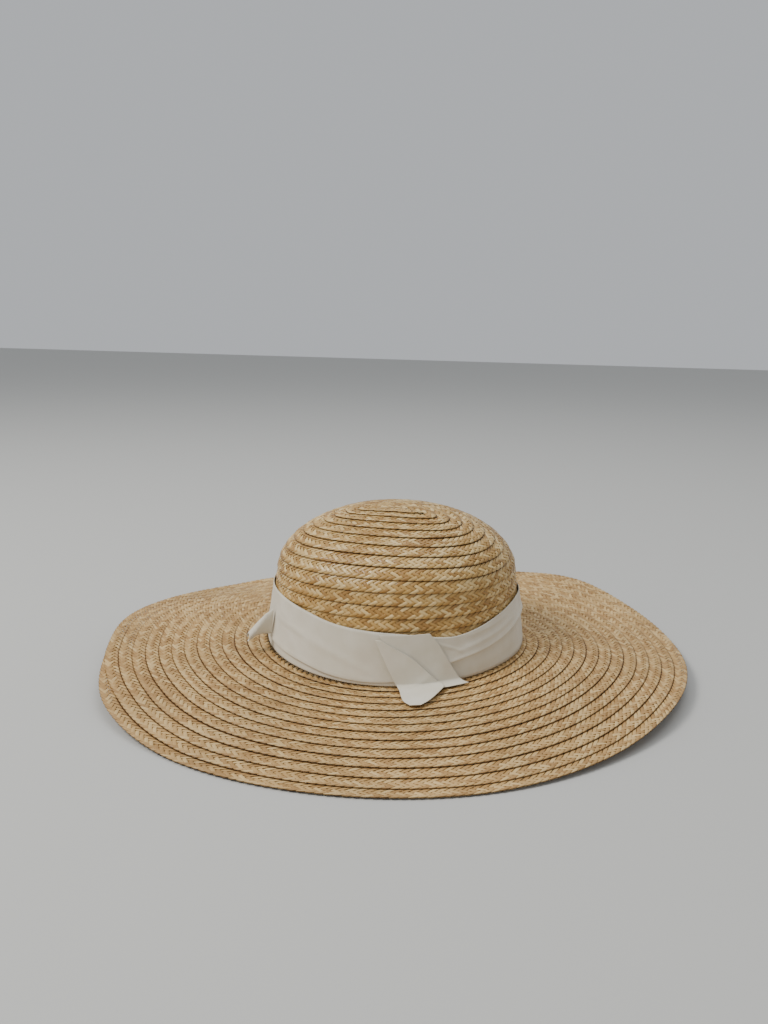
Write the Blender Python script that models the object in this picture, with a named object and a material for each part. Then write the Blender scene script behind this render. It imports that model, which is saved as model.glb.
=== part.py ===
"""A wide-brimmed straw hat lying on its brim, with a folded cloth band round the crown.

The hat is sewn from one long straw plait. Each row of plait laps over the row outside it, so the shells here
are stepped, one step to a row. X runs along the oval of the head and Y across it. Z is up, and Z = 0 is the
surface that the brim lies on.
"""

import bisect
import math

import bmesh
import bpy

# Crown, measured outside the straw
CROWN_HALF_LENGTH = 0.098
CROWN_HALF_WIDTH = 0.0925
CROWN_HEIGHT = 0.1176
SHOULDER_HEIGHT = 0.0686
WALL_LEAN = 0.0065
DOME_POWER = 1.95
DOME_LEAN = 0.0028

# Where the crown meets the brim
FOOT_HEIGHT = 0.0084
FOOT_SIDE_RISE = 0.006

# Brim
BRIM_WIDTH = 0.125
BRIM_LIFT = 0.0175
BRIM_DROOP_POWER = 2.2
FLAT_RIM = 0.0095

# Straw plait
ROW_PITCH = 0.009
STRAW_WALL = 0.0017
ROW_STEP = 0.0007
ROW_RISER = 0.0009

# Cloth
BAND_WIDTH = 0.044
BAND_WALL = 0.0012
BAND_PLEAT = 0.0012
FOLD_ROUND = 0.0006
SHEET_WALL = 0.001
FLAP_LENGTH = 0.041
TAIL_LENGTH = 0.06
CLOTH_BEND = 0.0045
SIDE_TAIL_LENGTH = 0.018
SIDE_TAIL_HEIGHT = 0.019
SIDE_TAIL_MOUTH = 0.005

# Where the band's upper cloth still swells over the pleat: share of the way up to its top edge, and of
# the pleat's depth
SWELL_UP = 0.35
SWELL_OUT = 0.6

# Space left between pieces that touch
GAP = 0.0003

# How finely the round shapes are divided
CROWN_STEPS = 48
BRIM_STEPS = 58
SHELL_RINGS = 9
CLOTH_STEPS = 8
BEND_STEPS = 4

# Brim sections: azimuth in degrees, edge lift as a share of BRIM_LIFT, reach as a share of BRIM_WIDTH
BRIM_SECTIONS = (
    (0, 0.50, 0.965),
    (18, 0.40, 0.975),
    (38, 0.70, 0.972),
    (58, 1.00, 1.000),
    (78, 0.50, 1.020),
    (98, 0.00, 1.010),
    (122, 0.00, 0.995),
    (150, 0.00, 1.000),
    (172, 0.38, 0.988),
    (195, 0.84, 0.952),
    (212, 0.72, 0.958),
    (232, 0.38, 1.040),
    (252, 0.00, 1.045),
    (275, 0.00, 1.025),
    (300, 0.00, 1.005),
    (322, 0.18, 0.975),
    (342, 0.50, 0.963),
)

# Band sections: azimuth, height of the top edge and of the pleat's edge as shares of BAND_WIDTH,
# and the pleat's depth as a share of BAND_PLEAT
BAND_SECTIONS = (
    (0, 0.96, 0.60, 1.0),
    (45, 0.96, 0.62, 1.0),
    (90, 0.94, 0.52, 1.0),
    (150, 0.96, 0.40, 1.0),
    (190, 1.00, 0.26, 1.0),
    (222, 1.02, 0.19, 1.0),
    (244, 0.99, 0.16, 0.9),
    (260, 0.92, 0.10, 0.5),
    (275, 0.88, 0.08, 0.2),
    (290, 0.84, 0.12, 0.1),
    (303, 0.76, 0.28, 0.5),
    (312, 0.72, 0.34, 1.0),
    (324, 0.77, 0.39, 1.0),
    (338, 0.86, 0.47, 1.0),
)

# The flap and the tail: way down the cloth as a share of its length, azimuths of its left and right edges
FLAP_SECTIONS = (
    (0.00, 280.0, 300.2),
    (0.16, 282.0, 303.7),
    (0.58, 287.0, 309.2),
    (1.00, 291.0, 315.0),
)
TAIL_SECTIONS = (
    (0.00, 278.6, 280.4),
    (0.10, 280.3, 287.4),
    (0.20, 282.0, 293.2),
    (0.36, 284.6, 298.8),
    (0.52, 287.2, 304.2),
    (0.62, 288.3, 304.8),
    (0.76, 288.7, 301.0),
    (0.88, 289.2, 298.0),
    (0.96, 290.2, 295.8),
    (1.00, 291.4, 294.0),
)
FLAP_TOP_SHARE = 0.84
TAIL_TOP_SHARE = 0.77

# The side tail's root on the band: azimuth, and height as a share of BAND_WIDTH
SIDE_TAIL_AZIMUTH = 219.0
SIDE_TAIL_ROOT_SHARE = 0.48
# Its sections: way out as a share of its length, height and mouth as shares of its own sizes, and its
# middle's drop as a share of its length
SIDE_TAIL_SECTIONS = (
    (0.00, 1.00, 0.35, 0.00),
    (0.30, 0.80, 0.60, 0.06),
    (0.60, 0.55, 0.90, 0.22),
    (0.85, 0.42, 1.00, 0.42),
    (1.00, 0.34, 1.00, 0.55),
)
SIDE_TAIL_CURL = (200, 150, 105, 60, 15, -30, -75, -110)

STRAW = {"name": "straw", "color": (0.55, 0.36, 0.15), "roughness": 0.42}
CLOTH = {"name": "cotton", "color": (0.74, 0.70, 0.60), "roughness": 0.9}


def clear_scene():
    for found in list(bpy.data.objects):
        bpy.data.objects.remove(found, do_unlink=True)


def material_of(look):
    """The Principled material of that look, made once."""
    found = bpy.data.materials.get(look["name"])
    if found:
        return found
    made = bpy.data.materials.new(look["name"])
    made.use_nodes = True
    shader = made.node_tree.nodes["Principled BSDF"]
    shader.inputs["Base Color"].default_value = (*look["color"], 1.0)
    shader.inputs["Roughness"].default_value = look["roughness"]
    shader.inputs["Metallic"].default_value = 0.0
    made.diffuse_color = (*look["color"], 1.0)
    return made


def around(sections, azimuth):
    """The columns of a table of sections at that azimuth, on a smooth closed curve through its rows."""
    azimuth %= 360.0
    starts = [row[0] for row in sections]
    last = bisect.bisect_right(starts, azimuth) - 1
    rows = [sections[(last + step) % len(sections)] for step in (-1, 0, 1, 2)]
    before, span, after = ((rows[i + 1][0] - rows[i][0]) % 360.0 for i in (0, 1, 2))
    share = ((azimuth - rows[1][0]) % 360.0) / span
    found = []
    for column in range(1, len(rows[0])):
        far, near, ahead, beyond = (row[column] for row in rows)
        start_slope = (ahead - far) / (before + span) * span
        end_slope = (beyond - near) / (span + after) * span
        square, cube = share**2, share**3
        found.append(
            (2 * cube - 3 * square + 1) * near
            + (cube - 2 * square + share) * start_slope
            + (3 * square - 2 * cube) * ahead
            + (cube - square) * end_slope
        )
    return found


def along(sections, share):
    """The columns of a table of sections at that share, on straight lines between its rows."""
    for low, high in zip(sections, sections[1:]):
        if share <= high[0]:
            part = (share - low[0]) / (high[0] - low[0])
            return [a + (b - a) * part for a, b in zip(low[1:], high[1:])]
    return list(sections[-1][1:])


def foot_height(azimuth):
    """How high the crown's foot stands above the table: lowest at the front and back."""
    return FOOT_HEIGHT + FOOT_SIDE_RISE * math.cos(math.radians(azimuth)) ** 2


def oval(azimuth, beyond, height):
    """A point beyond the crown's outer oval at its foot."""
    angle = math.radians(azimuth)
    return (
        (CROWN_HALF_LENGTH + beyond) * math.cos(angle),
        (CROWN_HALF_WIDTH + beyond) * math.sin(angle),
        height,
    )


class CrownProfile:
    """The crown's outline across its width, from the tip over the shoulder and down to the foot."""

    POINTS = 240

    def __init__(self):
        dome = CROWN_HEIGHT - SHOULDER_HEIGHT
        shoulder = CROWN_HALF_WIDTH - WALL_LEAN
        self.points = []
        for step in range(self.POINTS + 1):
            angle = math.pi / 2 * step / self.POINTS
            self.points.append(
                (
                    shoulder * math.sin(angle) ** (2 / DOME_POWER),
                    SHOULDER_HEIGHT + dome * max(math.cos(angle), 0.0) ** (2 / DOME_POWER),
                )
            )
        self.points.append((CROWN_HALF_WIDTH, FOOT_HEIGHT))
        self.ways = [0.0]
        for (r0, z0), (r1, z1) in zip(self.points, self.points[1:]):
            self.ways.append(self.ways[-1] + math.hypot(r1 - r0, z1 - z0))
        self.length = self.ways[-1]

    def at(self, way):
        """Radius across the width and height, with the outward direction, that far from the tip."""
        i = min(max(bisect.bisect_right(self.ways, way) - 1, 0), len(self.points) - 2)
        (r0, z0), (r1, z1) = self.points[i : i + 2]
        span = self.ways[i + 1] - self.ways[i]
        part = (way - self.ways[i]) / span
        return (
            r0 + (r1 - r0) * part,
            z0 + (z1 - z0) * part,
            (z0 - z1) / span,
            (r1 - r0) / span,
        )


def longer_by(radius):
    """How much longer than wide the crown's oval is, each way, where it is that wide."""
    share = min(radius / CROWN_HALF_WIDTH, 1.0)
    return (CROWN_HALF_LENGTH - CROWN_HALF_WIDTH) * math.sqrt(share)


def crown_point(profile, way, outward, azimuth):
    """A point of the crown, that far outward from its plain surface."""
    radius, height, out_r, out_z = profile.at(way)
    longer = longer_by(radius)
    angle = math.radians(azimuth)
    above = max(height - SHOULDER_HEIGHT, 0.0) / (CROWN_HEIGHT - SHOULDER_HEIGHT)
    below = max(SHOULDER_HEIGHT - height, 0.0) / (SHOULDER_HEIGHT - FOOT_HEIGHT)
    across = radius + out_r * outward
    return (
        (across + longer) * math.cos(angle) + DOME_LEAN * above,
        across * math.sin(angle),
        height + out_z * outward + (foot_height(azimuth) - FOOT_HEIGHT) * below,
    )


def wall_point(azimuth, above_foot, outward):
    """A point that far outward from the crown's plain wall, at that height above its foot."""
    foot = foot_height(azimuth)
    radius = CROWN_HALF_WIDTH - WALL_LEAN * above_foot / (SHOULDER_HEIGHT - foot)
    angle = math.radians(azimuth)
    return (
        (radius + longer_by(radius) + outward) * math.cos(angle),
        (radius + outward) * math.sin(angle),
        foot + above_foot,
    )


def row_stations(length, start=0.0):
    """Ways along a stepped shell, with the outward step at each: low at a row's start, high at its end."""
    rows = max(round((length - start) / ROW_PITCH), 1)
    pitch = (length - start) / rows
    found = [(start, 0.0)]
    for row in range(rows):
        edge = start + (row + 1) * pitch
        found.append((edge - ROW_RISER, ROW_STEP))
        found.append((edge, 0.0 if row < rows - 1 else ROW_STEP))
    return found


def brim_edge(azimuth):
    """The brim's reach and its edge's height at that azimuth."""
    lift, reach = around(BRIM_SECTIONS, azimuth)
    return reach * BRIM_WIDTH, max(lift, 0.0) * BRIM_LIFT


def brim_under(azimuth, share):
    """How high the brim's under face is, that share of the way from the crown to the edge."""
    reach, lift = brim_edge(azimuth)
    seat = foot_height(azimuth) - GAP - STRAW_WALL
    bend = min(share / (1.0 - FLAT_RIM / reach), 1.0) ** BRIM_DROOP_POWER
    return seat + (lift - seat) * bend


def brim_top(azimuth, beyond):
    """How high the brim's upper face can be, that far beyond the crown's oval."""
    reach, _ = brim_edge(azimuth)
    share = (beyond + STRAW_WALL) / (reach + STRAW_WALL)
    return brim_under(azimuth, share) + STRAW_WALL + ROW_STEP


def plan_middle():
    """The middle of the hat's plan, which is the part's origin."""
    edge = [oval(azimuth, brim_edge(azimuth)[0], 0.0) for azimuth in turns(BRIM_STEPS)]
    return tuple((min(p[i] for p in edge) + max(p[i] for p in edge)) / 2 for i in (0, 1))


def turns(steps):
    return [360.0 * step / steps for step in range(steps)]


def finish(name, mesh, look):
    """Sets the mesh about the part's origin and puts it in the scene as one object."""
    middle_x, middle_y = plan_middle()
    bmesh.ops.translate(mesh, verts=mesh.verts, vec=(-middle_x, -middle_y, 0.0))
    bmesh.ops.recalc_face_normals(mesh, faces=mesh.faces)
    data = bpy.data.meshes.new(name)
    mesh.to_mesh(data)
    mesh.free()
    data.materials.append(material_of(look))
    made = bpy.data.objects.new(name, data)
    bpy.context.scene.collection.objects.link(made)
    return made


def lofted(name, rings, look, closed):
    """A body through rings of points. A closed one joins its last ring to its first, another is capped."""
    mesh = bmesh.new()
    rows = [[mesh.verts.new(point) for point in ring] for ring in rings]
    pairs = list(zip(rows, rows[1:]))
    if closed:
        pairs.append((rows[-1], rows[0]))
    else:
        mesh.faces.new(rows[0])
        mesh.faces.new(list(reversed(rows[-1])))
    for first, second in pairs:
        for i in range(len(first)):
            j = (i + 1) % len(first)
            mesh.faces.new((first[i], first[j], second[j], second[i]))
    return finish(name, mesh, look)


def slab(name, front, back, look):
    """A sheet with thickness, from its front and back grids of points."""
    rings = []
    for upper, lower in zip(front, back):
        rings.append(list(upper) + list(reversed(lower)))
    return lofted(name, rings, look, closed=False)


def crown():
    profile = CrownProfile()
    stations = row_stations(profile.length, start=ROW_PITCH / 2)
    rings = []
    for way, step in stations:
        outward = step if way < profile.length else 0.0
        rings.append([crown_point(profile, way, outward, a) for a in turns(CROWN_STEPS)])
    inner_start = ROW_PITCH / 2
    for ring in range(SHELL_RINGS + 1):
        way = profile.length + (inner_start - profile.length) * ring / SHELL_RINGS
        rings.append([crown_point(profile, way, -STRAW_WALL, a) for a in turns(CROWN_STEPS)])
    for i, azimuth in enumerate(turns(CROWN_STEPS)):
        foot = foot_height(azimuth)
        for ring in (rings[len(stations) - 1], rings[len(stations)]):
            x, y, _ = ring[i]
            ring[i] = (x, y, foot)
    return lofted("crown", rings, STRAW, closed=False)


def brim():
    rings = []
    longest = max(brim_edge(azimuth)[0] for azimuth in turns(BRIM_STEPS))
    seat_share = STRAW_WALL / longest
    stations = [(0.0, 0.0)] + [
        (seat_share + (1.0 - seat_share) * way / BRIM_WIDTH, step)
        for way, step in row_stations(BRIM_WIDTH)
    ]

    def point(azimuth, share, above):
        reach, _ = brim_edge(azimuth)
        beyond = -STRAW_WALL + share * (reach + STRAW_WALL)
        return oval(azimuth, beyond, brim_under(azimuth, share) + above)

    for share, step in stations:
        rings.append([point(a, share, STRAW_WALL + step) for a in turns(BRIM_STEPS)])
    flat_share = 1.0 - FLAT_RIM / longest
    under = [1.0, flat_share] + [
        flat_share * (SHELL_RINGS - 2 - ring) / (SHELL_RINGS - 2) for ring in range(1, SHELL_RINGS - 1)
    ]
    for share in under:
        rings.append([point(a, share, 0.0) for a in turns(BRIM_STEPS)])
    return lofted("brim", rings, STRAW, closed=True)


def band_surface(azimuth, above_foot, outward):
    """A point that far outward from the space which the band fills round the crown's wall."""
    return wall_point(azimuth, above_foot, ROW_STEP + GAP + outward)


def hat_band():
    """The band: its upper cloth laps over the lower at one long pleat."""
    bottom = ROW_STEP
    sections = []
    for azimuth in turns(CROWN_STEPS):
        top_share, pleat_share, depth_share = around(BAND_SECTIONS, azimuth)
        top = top_share * BAND_WIDTH
        pleat = pleat_share * BAND_WIDTH
        depth = BAND_WALL + depth_share * BAND_PLEAT
        section = (
            (bottom, 0.0),
            (bottom, BAND_WALL),
            (pleat, BAND_WALL),
            (pleat + FOLD_ROUND, depth),
            (pleat + (top - pleat) * SWELL_UP, BAND_WALL + (depth - BAND_WALL) * SWELL_OUT),
            (top, BAND_WALL),
            (top, 0.0),
            ((top + bottom) / 2, 0.0),
        )
        sections.append([band_surface(azimuth, height, outward) for height, outward in section])
    return lofted("hat_band", list(zip(*sections)), CLOTH, closed=True)


def draped(azimuth, start_height, down, outward):
    """A point of a cloth end that hangs down the band, bends at the crown's foot and lies out on the brim.

    Outward is its distance from the cloth that the end lies on.
    """
    on_wall = start_height - CLOTH_BEND
    turn = CLOTH_BEND * math.pi / 2
    layer = BAND_WALL + BAND_PLEAT + GAP + outward
    if down <= on_wall:
        return band_surface(azimuth, start_height - down, layer)
    past = down - on_wall
    angle = min(past / turn, 1.0) * math.pi / 2
    run = max(past - turn, 0.0)
    bend_top = band_surface(azimuth, CLOTH_BEND, layer)
    farther = CLOTH_BEND * (1.0 - math.cos(angle)) + run
    x, y, _ = band_surface(azimuth, CLOTH_BEND, layer + farther)
    beyond = ROW_STEP + GAP + layer + farther
    rest = brim_top(azimuth, beyond) + GAP + outward
    return x, y, rest + (bend_top[2] - rest) * (1.0 - math.sin(angle))


def cloth_end(name, sections, length, top_share, layer):
    """A folded end of the band: a sheet through its table's sections."""
    start_height = top_share * BAND_WIDTH
    bend_start = start_height - CLOTH_BEND
    bend_length = CLOTH_BEND * math.pi / 2
    bend = {bend_start + bend_length * step / BEND_STEPS for step in range(BEND_STEPS + 1)}
    shares = {row[0] for row in sections} | {min(way / length, 1.0) for way in bend}
    fractions = [step / CLOTH_STEPS for step in range(CLOTH_STEPS + 1)]
    front, back = [], []
    for share in sorted(shares):
        left, right = along(sections, share)
        azimuths = [left + (right - left) * part for part in fractions]
        down = share * length
        back.append([draped(a, start_height, down, layer) for a in azimuths])
        front.append([draped(a, start_height, down, layer + SHEET_WALL) for a in azimuths])
    return slab(name, front, back, CLOTH)


def side_tail():
    """The pinched end at the side: a small hood of cloth, open below, that stands out from the band."""
    root_height = SIDE_TAIL_ROOT_SHARE * BAND_WIDTH
    layer = BAND_WALL + BAND_PLEAT + 2 * GAP
    start = band_surface(SIDE_TAIL_AZIMUTH, root_height, layer)
    angle = math.radians(SIDE_TAIL_AZIMUTH)
    out = (math.cos(angle) * CROWN_HALF_WIDTH, math.sin(angle) * CROWN_HALF_LENGTH)
    size = math.hypot(*out)
    out = (out[0] / size, out[1] / size)
    aside = (-out[1], out[0])
    lean = WALL_LEAN / (SHOULDER_HEIGHT - foot_height(SIDE_TAIL_AZIMUTH))
    front, back = [], []
    for share, height_share, mouth_share, drop_share in SIDE_TAIL_SECTIONS:
        half_height = height_share * SIDE_TAIL_HEIGHT / 2
        half_mouth = mouth_share * SIDE_TAIL_MOUTH / 2
        way = share * SIDE_TAIL_LENGTH
        drop = drop_share * SIDE_TAIL_LENGTH
        for grid, inset in ((front, 0.0), (back, SHEET_WALL)):
            row = []
            for degrees in SIDE_TAIL_CURL:
                turn = math.radians(degrees)
                sideways = (half_mouth + SHEET_WALL - inset) * math.cos(turn)
                upward = (half_height - inset) * math.sin(turn)
                outward = way - lean * upward
                row.append(
                    (
                        start[0] + out[0] * outward + aside[0] * sideways,
                        start[1] + out[1] * outward + aside[1] * sideways,
                        start[2] + upward - drop,
                    )
                )
            grid.append(row)
    return slab("side_tail", front, back, CLOTH)


def main():
    clear_scene()
    crown()
    brim()
    hat_band()
    cloth_end("band_flap", FLAP_SECTIONS, FLAP_LENGTH, FLAP_TOP_SHARE, 0.0)
    cloth_end("band_tail", TAIL_SECTIONS, TAIL_LENGTH, TAIL_TOP_SHARE, SHEET_WALL + GAP)
    side_tail()


main()
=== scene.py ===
"""A wide-brimmed straw hat lying on its brim, with a folded cotton band.

The hat is one long straw plait sewn round and round. The plait starts at the top of the crown and turns
clockwise as it grows, and each turn laps over the turn outside it. Sizes are in metres, in the part's
own frame.
"""

import math

import bpy
import numpy as np
from mathutils import Matrix, Vector


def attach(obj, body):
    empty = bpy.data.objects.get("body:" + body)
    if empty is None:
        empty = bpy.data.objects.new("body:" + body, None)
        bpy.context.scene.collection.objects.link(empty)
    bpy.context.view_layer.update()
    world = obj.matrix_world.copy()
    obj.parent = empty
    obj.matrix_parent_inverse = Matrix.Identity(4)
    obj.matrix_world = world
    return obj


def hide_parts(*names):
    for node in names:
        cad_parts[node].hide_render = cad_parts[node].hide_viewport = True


# Crown and brim, as in the part's source
CROWN_HALF_LENGTH = 0.098
CROWN_HALF_WIDTH = 0.0925
CROWN_HEIGHT = 0.1176
SHOULDER_HEIGHT = 0.0686
WALL_LEAN = 0.0065
DOME_POWER = 1.95
DOME_LEAN = 0.0028
FOOT_HEIGHT = 0.0084
FOOT_SIDE_RISE = 0.006
BRIM_WIDTH = 0.125
BRIM_LIFT = 0.0175
BRIM_DROOP_POWER = 2.2
FLAT_RIM = 0.0095
STRAW_WALL = 0.0017
PLAN_MIDDLE = (-0.00067, -0.00094)

# Brim sections: azimuth in degrees, edge lift as a share of BRIM_LIFT, reach as a share of BRIM_WIDTH
BRIM_SECTIONS = (
    (0, 0.50, 0.965),
    (18, 0.40, 0.975),
    (38, 0.70, 0.972),
    (58, 1.00, 1.000),
    (78, 0.50, 1.020),
    (98, 0.00, 1.010),
    (122, 0.00, 0.995),
    (150, 0.00, 1.000),
    (172, 0.38, 0.988),
    (195, 0.84, 0.952),
    (212, 0.72, 0.958),
    (232, 0.38, 1.040),
    (252, 0.00, 1.045),
    (275, 0.00, 1.025),
    (300, 0.00, 1.005),
    (322, 0.18, 0.975),
    (342, 0.50, 0.963),
)

# The plait: its rows are counted outwards from the crown's foot, so those of the crown are below zero
TIP_ROW = -16.313
RIM_ROW = 13.87
ROW_PHASE = 0.487
END_AZIMUTH = 222.0
END_TAPER = 10.0
PLAIT_LAP = 0.13
PLAIT_THICK = 0.001
TIP_CENTRE = -0.017
TIP_HALF_LENGTH = 0.0235
TIP_HALF_WIDTH = 0.0052
START_TURN = 0.37
CROWN_DEPTH = 0.0004
BRIM_RISE = 0.00095

# One straw of the plait
STRAW_PITCH = 0.005
STRAW_FILL = 0.97
STRAW_THICK = 0.00034
WEAVE_DEPTH = 0.00027
WEAVE_STEP = 0.30
FIRST_CROSSING = 0.145
EDGE_ROUND = 0.06

PLAIT_PIECES = (
    ("crown_tip", "crown", -17.0, -9.5),
    ("crown_side", "crown", -9.5, 0.0),
    ("brim_inner", "brim", 0.0, 5.5),
    ("brim_middle", "brim", 5.5, 10.0),
    ("brim_rim", "brim", 10.0, 14.0),
)

# Cloth, as in the part's source
ROW_STEP = 0.0007
GAP = 0.0003
BAND_WIDTH = 0.044
BAND_WALL = 0.0012
BAND_PLEAT = 0.0012
FOLD_ROUND = 0.0006
SHEET_WALL = 0.001
SWELL_OUT = 0.6
FLAP_LENGTH = 0.041
TAIL_LENGTH = 0.06
CLOTH_BEND = 0.0045
SIDE_TAIL_LENGTH = 0.018
SIDE_TAIL_HEIGHT = 0.019
SIDE_TAIL_MOUTH = 0.005
FLAP_TOP_SHARE = 0.84
TAIL_TOP_SHARE = 0.77
SIDE_TAIL_AZIMUTH = 219.0
SIDE_TAIL_ROOT_SHARE = 0.48

# Band sections: azimuth, height of the top edge and of the pleat's edge as shares of BAND_WIDTH,
# and the pleat's depth as a share of BAND_PLEAT
BAND_SECTIONS = (
    (0, 0.96, 0.60, 1.0),
    (45, 0.96, 0.62, 1.0),
    (90, 0.94, 0.52, 1.0),
    (150, 0.96, 0.40, 1.0),
    (190, 1.00, 0.26, 1.0),
    (222, 1.02, 0.19, 1.0),
    (244, 0.99, 0.16, 0.9),
    (260, 0.92, 0.10, 0.5),
    (275, 0.88, 0.08, 0.2),
    (290, 0.84, 0.12, 0.1),
    (303, 0.76, 0.28, 0.5),
    (312, 0.72, 0.34, 1.0),
    (324, 0.77, 0.39, 1.0),
    (338, 0.86, 0.47, 1.0),
)
# The flap and the tail: way down the cloth as a share of its length, azimuths of its left and right edges
FLAP_SECTIONS = (
    (0.00, 280.0, 300.2),
    (0.16, 282.0, 303.7),
    (0.58, 287.0, 309.2),
    (1.00, 291.0, 315.0),
)
TAIL_SECTIONS = (
    (0.00, 278.6, 280.4),
    (0.10, 280.3, 287.4),
    (0.20, 282.0, 293.2),
    (0.36, 284.6, 298.8),
    (0.52, 287.2, 304.2),
    (0.62, 288.3, 304.8),
    (0.76, 288.7, 301.0),
    (0.88, 289.2, 298.0),
    (0.96, 290.2, 295.8),
    (1.00, 291.4, 294.0),
)
# Side tail: way out as a share of its length, height and mouth as shares of its own sizes, and its drop
SIDE_TAIL_SECTIONS = (
    (0.00, 1.00, 0.35, 0.00),
    (0.30, 0.80, 0.60, 0.06),
    (0.60, 0.55, 0.90, 0.22),
    (0.85, 0.42, 1.00, 0.42),
    (1.00, 0.34, 1.00, 0.55),
)
SIDE_TAIL_CURL = (200, -110)

# Folds pressed into the band: azimuth and height above the foot of both ends, then width
# and depth
BAND_FOLDS = (
    (219, 0.0290, 246, 0.0262, 0.0011, 0.0007),
    (224, 0.0350, 264, 0.0170, 0.0026, 0.0005),
    (244, 0.0300, 278, 0.0100, 0.0024, 0.0005),
    (298, 0.0300, 310, 0.0140, 0.0010, 0.0004),
    (303, 0.0290, 316, 0.0200, 0.0009, 0.0004),
    (309, 0.0200, 352, 0.0310, 0.0018, 0.0007),
    (314, 0.0290, 345, 0.0345, 0.0014, 0.0004),
    (318, 0.0060, 356, 0.0150, 0.0020, 0.0004),
    (30, 0.0100, 80, 0.0180, 0.0024, 0.0005),
    (95, 0.0320, 150, 0.0250, 0.0022, 0.0006),
    (160, 0.0230, 206, 0.0330, 0.0022, 0.0005),
)
BAND_WAVE = 0.0001
CLOTH_THICK = 0.0004
PINK_PITCH = 0.0012
PINK_DEPTH = 0.0004

# The band's cloth, as distances from the straw: at its top edge, where the fold turns back, and below
# the pleat
TOP_LEVEL = 0.0006
TUCK_LEVEL = 0.00066
LOW_LEVEL = 0.00022
LOW_SWELL = 0.0002
BAND_FOOT = 0.0009
LIP_HEIGHT = 0.0025
PLEAT_TUCK = 0.003
LOWER_LAP = 0.0035
FOLD_FADE = 0.004
UPPER_STEPS = 18
LOWER_STEPS = 10
BEND_STEPS = 6
EDGE_SMOOTH = 15
FLAP_COLUMNS = 71
TAIL_COLUMNS = 49

# The band laid flat: its length, once round the crown. Across, it is its 44 mm and 8 mm taken up in
# the pleat. The other pieces follow from the tables above.
BAND_LENGTH = 0.6

STATION = 0.003
ROW_DIVISIONS = 8
ROW_MARGIN = 0.1
END_MARGIN = 0.012


def around(sections, azimuth):
    """The columns of a table of sections at those azimuths, on a smooth closed curve through its rows."""
    table = np.array(sections, float)
    starts = table[:, 0]
    azimuth = np.asarray(azimuth, float) % 360.0
    last = np.searchsorted(starts, azimuth, side="right") - 1
    rows = [table[(last + step) % len(table)] for step in (-1, 0, 1, 2)]
    before, span, after = ((rows[i + 1][..., 0] - rows[i][..., 0]) % 360.0 for i in (0, 1, 2))
    share = ((azimuth - rows[1][..., 0]) % 360.0) / span
    square, cube = share**2, share**3
    found = []
    for column in range(1, table.shape[1]):
        far, near, ahead, beyond = (row[..., column] for row in rows)
        start_slope = (ahead - far) / (before + span) * span
        end_slope = (beyond - near) / (span + after) * span
        found.append(
            (2 * cube - 3 * square + 1) * near
            + (cube - 2 * square + share) * start_slope
            + (3 * square - 2 * cube) * ahead
            + (cube - square) * end_slope
        )
    return found


def foot_height(azimuth):
    return FOOT_HEIGHT + FOOT_SIDE_RISE * np.cos(np.radians(azimuth)) ** 2


def brim_edge(azimuth):
    """The brim's reach and its edge's height."""
    lift, reach = around(BRIM_SECTIONS, azimuth)
    return reach * BRIM_WIDTH, np.maximum(lift, 0.0) * BRIM_LIFT


def crown_profile():
    """The crown's outline across its width: way from the tip, radius and height."""
    angle = np.linspace(0.0, math.pi / 2, 400)
    shoulder = CROWN_HALF_WIDTH - WALL_LEAN
    dome = CROWN_HEIGHT - SHOULDER_HEIGHT
    radius = np.append(shoulder * np.sin(angle) ** (2 / DOME_POWER), CROWN_HALF_WIDTH)
    height = np.append(
        SHOULDER_HEIGHT + dome * np.maximum(np.cos(angle), 0.0) ** (2 / DOME_POWER), FOOT_HEIGHT
    )
    way = np.concatenate([[0.0], np.cumsum(np.hypot(np.diff(radius), np.diff(height)))])
    return way, radius, height


PROFILE_WAY, PROFILE_RADIUS, PROFILE_HEIGHT = crown_profile()
CROWN_WAY = PROFILE_WAY[-1]


def crown_place(way, azimuth):
    """A point of the crown's surface, that far from its tip."""
    radius = np.interp(way, PROFILE_WAY, PROFILE_RADIUS)
    height = np.interp(way, PROFILE_WAY, PROFILE_HEIGHT)
    share = np.minimum(radius / CROWN_HALF_WIDTH, 1.0)
    longer = (CROWN_HALF_LENGTH - CROWN_HALF_WIDTH) * np.sqrt(share)
    angle = np.radians(azimuth)
    above = np.maximum(height - SHOULDER_HEIGHT, 0.0) / (CROWN_HEIGHT - SHOULDER_HEIGHT)
    below = np.maximum(SHOULDER_HEIGHT - height, 0.0) / (SHOULDER_HEIGHT - FOOT_HEIGHT)
    return np.stack(
        [
            (radius + longer) * np.cos(angle) + DOME_LEAN * above,
            radius * np.sin(angle),
            height + (foot_height(azimuth) - FOOT_HEIGHT) * below,
        ],
        axis=-1,
    )


def crown_row_place(row, azimuth):
    """A point of the crown on that row: rings that grow from a short straight stretch in front of the tip."""
    grown = 1.0 - row / TIP_ROW
    half_length = TIP_HALF_LENGTH + (CROWN_WAY - TIP_HALF_LENGTH) * grown
    half_width = TIP_HALF_WIDTH + (CROWN_WAY - TIP_HALF_WIDTH) * grown
    angle = np.radians(azimuth)
    across = half_length * np.cos(angle)
    ahead = TIP_CENTRE * (1.0 - grown) + half_width * np.sin(angle)
    return crown_place(np.hypot(across, ahead), np.degrees(np.arctan2(ahead, across)))


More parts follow.
